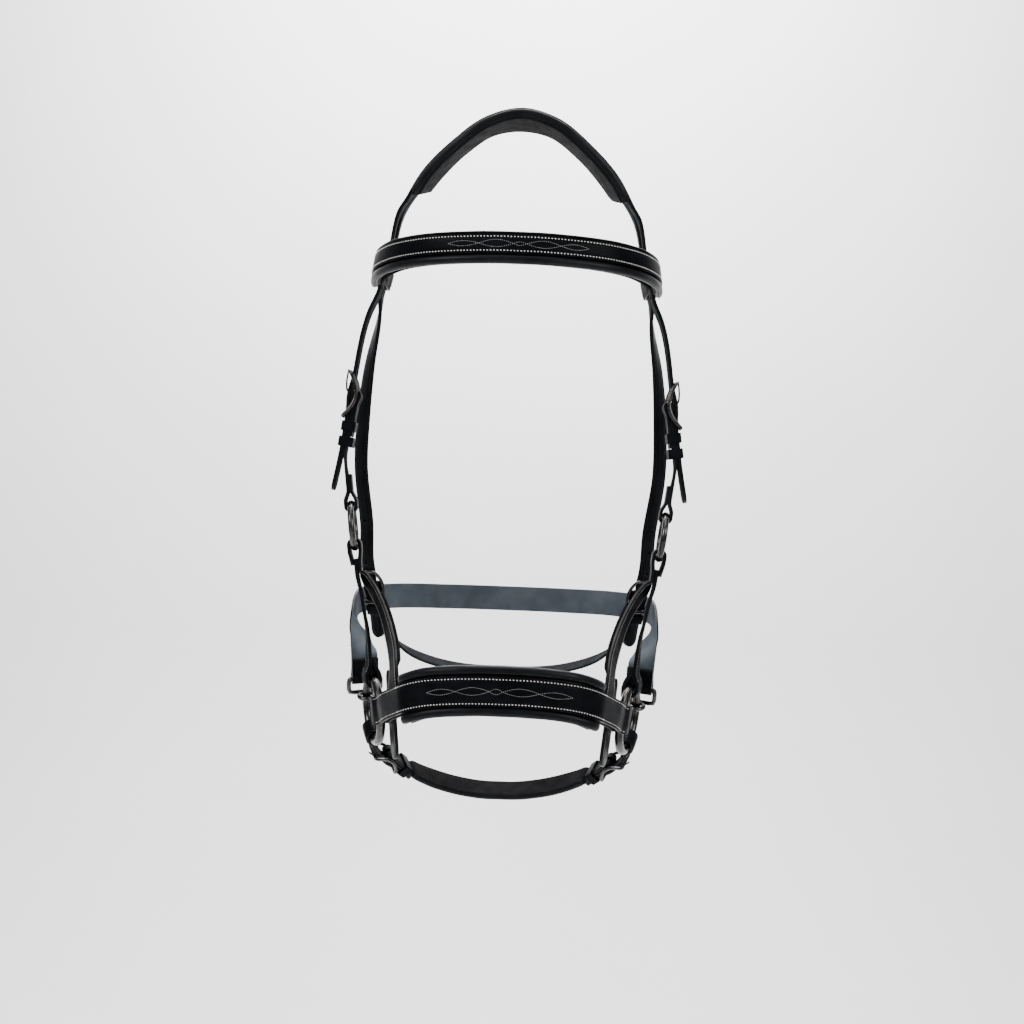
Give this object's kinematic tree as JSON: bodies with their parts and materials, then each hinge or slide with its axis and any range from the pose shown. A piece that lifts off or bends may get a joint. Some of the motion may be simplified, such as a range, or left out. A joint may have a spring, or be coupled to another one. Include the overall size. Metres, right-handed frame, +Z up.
{
  "type": "sidepull bridle",
  "caption": "Bitless leather bridle: padded crown, browband and noseband, side rings for the reins, branched cheeks, and buckled throat, chin and jaw straps.",
  "frame": {"origin": "middle of the crown pad's underside, where it rests on the horse's poll", "axes": "+Z up along the hanging bridle, -Y out of the horse's face, +X to the horse's left"},
  "size_m": [0.2932, 0.2545, 0.5718],
  "materials": {
    "strap_leather": "near-black semi-gloss bridle leather",
    "padded_leather": "soft near-black leather over padding",
    "lining_leather": "matte black lining leather",
    "polished_steel": "polished stainless steel"
  },
  "bodies": {
    "bridle": {"crown_strap": "strap_leather", "browband_strap": "strap_leather", "noseband_strap": "strap_leather", "chin_strap": "strap_leather", "throat_strap": "strap_leather", "jaw_strap": "strap_leather", "cheekpiece_left": "strap_leather", "cheekpiece_right": "strap_leather", "cheek_keeper_left": "strap_leather", "cheek_keeper_right": "strap_leather", "front_branch_left": "strap_leather", "front_branch_right": "strap_leather", "rear_branch_left": "strap_leather", "rear_branch_right": "strap_leather", "chin_billet_left": "strap_leather", "chin_billet_right": "strap_leather", "chin_keeper_left": "strap_leather", "chin_keeper_right": "strap_leather", "throat_keeper_left": "strap_leather", "throat_keeper_right": "strap_leather", "crown_pad": "padded_leather", "browband_pad": "padded_leather", "noseband_pad": "padded_leather", "chin_pad": "padded_leather", "browband_lining": "lining_leather", "noseband_lining": "lining_leather", "front_branch_lining_left": "lining_leather", "front_branch_lining_right": "lining_leather", "ring_guard_left": "lining_leather", "ring_guard_right": "lining_leather", "cheek_buckle_left": "polished_steel", "cheek_buckle_right": "polished_steel", "chin_buckle_left": "polished_steel", "chin_buckle_right": "polished_steel", "throat_buckle_left": "polished_steel", "throat_buckle_right": "polished_steel", "jaw_link_left": "polished_steel", "jaw_link_right": "polished_steel"},
    "big_ring_left": {"big_ring_left": "polished_steel"},
    "big_ring_right": {"big_ring_right": "polished_steel"},
    "small_ring_left": {"small_ring_left": "polished_steel"},
    "small_ring_right": {"small_ring_right": "polished_steel"},
    "cheek_tongue_left": {"cheek_tongue_left": "polished_steel"},
    "cheek_tongue_right": {"cheek_tongue_right": "polished_steel"},
    "chin_tongue_left": {"chin_tongue_left": "polished_steel"},
    "chin_tongue_right": {"chin_tongue_right": "polished_steel"},
    "throat_tongue_left": {"throat_tongue_left": "polished_steel"},
    "throat_tongue_right": {"throat_tongue_right": "polished_steel"},
    "cheek_runner_left": {"cheek_runner_left": "strap_leather"},
    "cheek_runner_right": {"cheek_runner_right": "strap_leather"}
  },
  "joints": [
    {"name": "big_ring_left_turn", "type": "hinge", "parent": "bridle", "child": "big_ring_left", "pos_m": [0.103, -0.01, -0.479], "axis": [0.946, -0.3074, -0.1028], "continuous": true},
    {"name": "big_ring_right_turn", "type": "hinge", "parent": "bridle", "child": "big_ring_right", "pos_m": [-0.103, -0.01, -0.479], "axis": [-0.946, -0.3074, -0.1028], "continuous": true},
    {"name": "small_ring_left_turn", "type": "hinge", "parent": "bridle", "child": "small_ring_left", "pos_m": [0.127, 0.005, -0.331], "axis": [0.9919, -0.0346, -0.1219], "continuous": true},
    {"name": "small_ring_right_turn", "type": "hinge", "parent": "bridle", "child": "small_ring_right", "pos_m": [-0.127, 0.005, -0.331], "axis": [-0.9919, -0.0346, -0.1219], "continuous": true},
    {"name": "cheek_tongue_left_lift", "type": "hinge", "parent": "bridle", "child": "cheek_tongue_left", "pos_m": [0.1285, 0.011, -0.224], "axis": [0, 1, 0], "range_deg": [0, 12]},
    {"name": "cheek_tongue_right_lift", "type": "hinge", "parent": "bridle", "child": "cheek_tongue_right", "pos_m": [-0.1285, 0.011, -0.224], "axis": [0, -1, 0], "range_deg": [0, 12]},
    {"name": "chin_tongue_left_lift", "type": "hinge", "parent": "bridle", "child": "chin_tongue_left", "pos_m": [0.09239, 0.02646, -0.52085], "axis": [0.3723, 0.7511, 0.5451], "range_deg": [0, 12]},
    {"name": "chin_tongue_right_lift", "type": "hinge", "parent": "bridle", "child": "chin_tongue_right", "pos_m": [-0.09239, 0.02646, -0.52085], "axis": [0.3723, -0.7511, -0.5451], "range_deg": [0, 12]},
    {"name": "throat_tongue_left_lift", "type": "hinge", "parent": "bridle", "child": "throat_tongue_left", "pos_m": [0.112, 0.06, -0.382], "axis": [0.669, 0.7431, -0.0157], "range_deg": [0, 12]},
    {"name": "throat_tongue_right_lift", "type": "hinge", "parent": "bridle", "child": "throat_tongue_right", "pos_m": [-0.112, 0.06, -0.382], "axis": [0.669, -0.7431, 0.0157], "range_deg": [0, 12]},
    {"name": "cheek_runner_left_slide", "type": "slide", "parent": "bridle", "child": "cheek_runner_left", "axis": [-0.1357, 0, 0.9907], "range_m": [-0.001, 0.004]},
    {"name": "cheek_runner_right_slide", "type": "slide", "parent": "bridle", "child": "cheek_runner_right", "axis": [0.1357, 0, 0.9907], "range_m": [-0.001, 0.004]}
  ]
}
